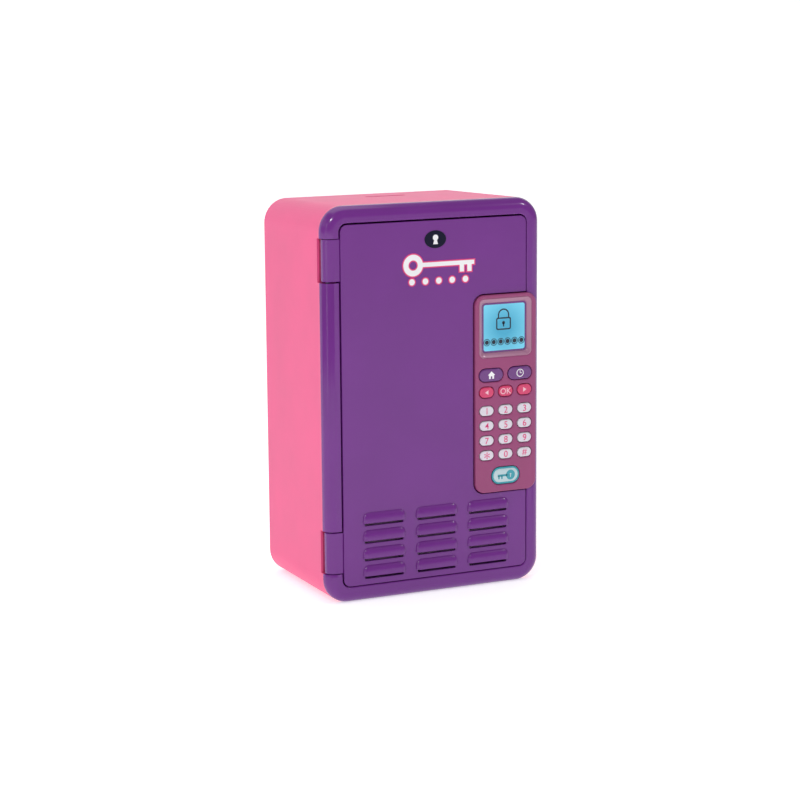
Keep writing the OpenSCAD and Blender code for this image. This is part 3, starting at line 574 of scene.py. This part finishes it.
def screen(wx, wz, front, half):
    """The window's sloped surround, its printed border, and the display's plain padlock and dots."""
    inner, deep = WINDOW / 2, CONSOLE_PLATE
    levels = ((half + 0.3, 0.35, 4.2), (half - 0.3, 0.0, 4.0), (half - 0.9, 0.25, 3.7),
              (inner + 0.6, deep - 0.5, 2.6), (inner, deep + 0.1, 2.2))
    work = bmesh.new()
    rings = [[work.verts.new((x * MM, (front + depth) * MM, z * MM))
              for x, z in rounded(wx - reach, wx + reach, wz - reach, wz + reach, r, 8)]
             for reach, depth, r in levels]
    count = len(rings[0])
    for a, b in zip(rings, rings[1:]):
        for i in range(count):
            work.faces.new((a[i], a[(i + 1) % count], b[(i + 1) % count], b[i]))
    # The surround's paler, greyer mauve is painted sheen on the sloped walls, not a colour of its own.
    surround = new_object("window_surround", mesh_of(work, "window_surround", 50), WINDOW_TRIM_PAINTED_SHEEN, "root")
    thick = surround.modifiers.new("wall", "SOLIDIFY")
    thick.thickness = 0.4 * MM
    face = front + deep + 0.2
    hole = inner - 1.1
    border = plate("window_border", [rounded(wx - inner, wx + inner, wz - inner, wz + inner, 2.2),
                                     rounded(wx - hole, wx + hole, wz - hole, wz + hole, 1.6)],
                   face - 0.1, face + 0.05, 0.02, PURPLE_KEY, "root", 1)
    glass = plate("display", [rounded(wx - inner, wx + inner, wz - inner, wz + inner, 1.6)],
                  face, face + 0.6, 0.05, LCD, "root", 1)
    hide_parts("lcd_lens")
    ink = face - 0.05
    px, pz = wx - 0.5, wz + 4.5

    def mark(outlines):
        return plate("mark", outlines, ink, ink + 0.1, 0.01, SCREEN_INK, "root", 1)

    def wide(r, cz, start, end):
        return arc(px, cz, r, start, end, 20)

    case = [rounded(px - 6, px + 6, pz - 6.5, pz + 2.5, 1.5),
            rounded(px - 5, px + 5, pz - 5.5, pz + 1.5, 0.8)]
    shackle = [wide(4.6, pz + 4.2, 0, 180) + [(px - 4.6, pz + 2.4), (px - 3.6, pz + 2.4)]
               + wide(3.6, pz + 4.2, 180, 0) + [(px + 3.6, pz + 2.4), (px + 4.6, pz + 2.4)]]
    keyhole = [pill(px, pz - 1.4, 2.4, 2.4)]
    stem = [rounded(px - 0.5, px + 0.5, pz - 4.2, pz - 1.4, 0.3, 3)]
    marks = [mark(case), mark(shackle), mark(keyhole), mark(stem)]
    for i in range(6):
        cx = wx + (i - 2.5) * 5.6
        marks.append(mark([pill(cx, wz - 10.4, 5.2, 5.2), pill(cx, wz - 10.4, 4.2, 4.2)]))
        marks.append(mark([pill(cx, wz - 10.4, 3.2, 3.2)]))
    joined("display_marks", marks)


# ---- keys ----

KEYS = {"key_" + str(i): str(i) for i in range(10)}
KEYS.update(key_star="*", key_hash="#", key_ok="OK", key_left="left", key_right="right",
            key_home="home", key_clock="clock", key_unlock="unlock")


def key_size(node):
    """The width and height of a key's cap, without its flange."""
    low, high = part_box(node)
    return (high.x - low.x) / MM - 2 * KEY_FLANGE, (high.z - low.z) / MM - 2 * KEY_FLANGE


def legend(name, text, cx, cz, size, front, material, body):
    """Plain raised lettering, centred on a key."""
    curve = bpy.data.curves.new(name, "FONT")
    curve.body = text
    curve.size = size * MM
    curve.align_x, curve.align_y = "CENTER", "CENTER"
    curve.extrude = 0.03 * MM
    curve.offset = 0.035 * MM
    drawn = added(name + "_text", curve)
    mesh = baked(drawn)
    bpy.data.objects.remove(drawn)
    xs, ys = [v.co.x for v in mesh.vertices], [v.co.y for v in mesh.vertices]
    middle = Vector(((min(xs) + max(xs)) / 2, (min(ys) + max(ys)) / 2, 0))
    mesh.transform(Matrix.Translation((cx * MM, front * MM, cz * MM)) @ UPRIGHT @ Matrix.Translation(-middle))
    finish_mesh(mesh)
    return new_object(name, mesh, material, body)


def icon(node, kind, cx, cz, front):
    """The drawn signs on the keys that have no digit."""
    def mark(outlines, ink, lift=0.0):
        return plate("mark", outlines, front - 0.03 - lift, front + 0.04, 0.01, ink, node, 1)

    if kind in ("left", "right"):
        way = -1 if kind == "left" else 1
        arrow = [(cx + 1.5 * way, cz), (cx - 1.2 * way, cz + way * 1.7), (cx - 1.2 * way, cz - way * 1.7)]
        parts = [mark([arrow], PALE_INK)]
    elif kind == "home":
        roof = [(cx - 3, cz), (cx + 3, cz), (cx, cz + 2.8)]
        walls = [(cx - 2, cz - 2.6), (cx - 0.6, cz - 2.6), (cx - 0.6, cz - 0.8), (cx + 0.6, cz - 0.8),
                 (cx + 0.6, cz - 2.6), (cx + 2, cz - 2.6), (cx + 2, cz), (cx - 2, cz)]
        parts = [mark([roof], WHITE_INK), mark([walls], WHITE_INK)]
    elif kind == "clock":
        parts = [mark([pill(cx, cz, 5.8, 5.8), pill(cx, cz, 4.7, 4.7)], WHITE_INK),
                 mark([rounded(cx - 0.25, cx + 0.25, cz - 0.2, cz + 1.9, 0.2, 3)], WHITE_INK),
                 mark([rounded(cx - 0.25, cx + 1.5, cz - 0.25, cz + 0.25, 0.2, 3)], WHITE_INK)]
    else:
        keyhole = [pill(cx + 3.8, cz + 0.6, 1.3, 1.3, steps=6),
                   rounded(cx + 3.45, cx + 4.15, cz - 1.8, cz + 0.1, 0.2, 2)]
        parts = [mark([pill(cx + 3.8, cz, 7.2, 7.2)], TEAL),
                 mark([rounded(cx - 6.6, cx + 1.2, cz - 0.75, cz + 0.75, 0.4, 3)], TEAL),
                 mark([rounded(cx - 6.2, cx - 5, cz - 2.6, cz, 0.3, 3)], TEAL),
                 mark([rounded(cx - 3.8, cx - 2.6, cz - 2.6, cz, 0.3, 3)], TEAL)]
        parts += [mark([shape], PALE_KEY, 0.05) for shape in keyhole]
    return joined(node + "_sign", parts)


def keys():
    """Each key: a domed cap, the flange that keeps it in, and its sign."""
    finishes = {"left": (RED_KEY, "key_red"), "right": (RED_KEY, "key_red"), "OK": (RED_KEY, "key_red"),
                "home": (PURPLE_KEY, "key_purple"), "clock": (PURPLE_KEY, "key_purple"),
                "unlock": (PALE_KEY, "key_pale")}
    sizes = {"OK": 6.0, "*": 11}
    for node, sign in KEYS.items():
        low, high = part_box(node)
        cx, cz = centre_of(node)
        w, h = key_size(node)
        front, back = low.y / MM, high.y / MM
        material, slot = finishes.get(sign, (WHITE_KEY, "key_white"))
        dome = 0.8 if h < 8 else 1.0
        if sign == "unlock":
            rim = plate("key_unlock_rim", [pill(cx, cz, w, h), pill(cx, cz, w, h, -1.3)],
                        front + 0.15, back - 0.9, 0.5, TEAL, node)
        cap = plate(node + "_cap", [pill(cx, cz, w, h, -1.0 if sign == "unlock" else 0)],
                    front, back - 1, dome, material, node)
        flange = plate(node + "_flange", [pill(cx, cz, w, h, KEY_FLANGE)], back - 1.05, back, 0.2,
                       material, node, 1)
        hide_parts(node)
        if sign in ("left", "right", "home", "clock", "unlock"):
            icon(node, sign, cx, cz, front)
        else:
            ink = PALE_INK if sign == "OK" else PINK_INK
            legend(node + "_sign", sign, cx, cz, sizes.get(sign, 6.6), front, ink, node)


# ---- the CAD nodes that stay ----

def dress_nodes():
    """Gives each CAD node its material, and the listed ones a small rounding on their edges."""
    for node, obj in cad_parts.items():
        material = NODE_MATERIALS.get(node, LILAC)
        obj.data.materials.clear()
        obj.data.materials.append(material)
        if node in ("front_frame", "inner_liner", "coin_shelf", "coin_chute", "door_liner",
                    "console_back", "battery_door", "battery_box"):
            weld = obj.modifiers.new("weld", "WELD")
            weld.merge_threshold = 0.002 * MM
            bevel = obj.modifiers.new("rounding", "BEVEL")
            bevel.width = 0.3 * MM
            bevel.segments = 2
            bevel.limit_method = "ANGLE"
            bevel.angle_limit = math.radians(50)
            bevel.harden_normals = True


camera()
studio()
dress_nodes()
door()
badge_and_motif()
console()
keys()
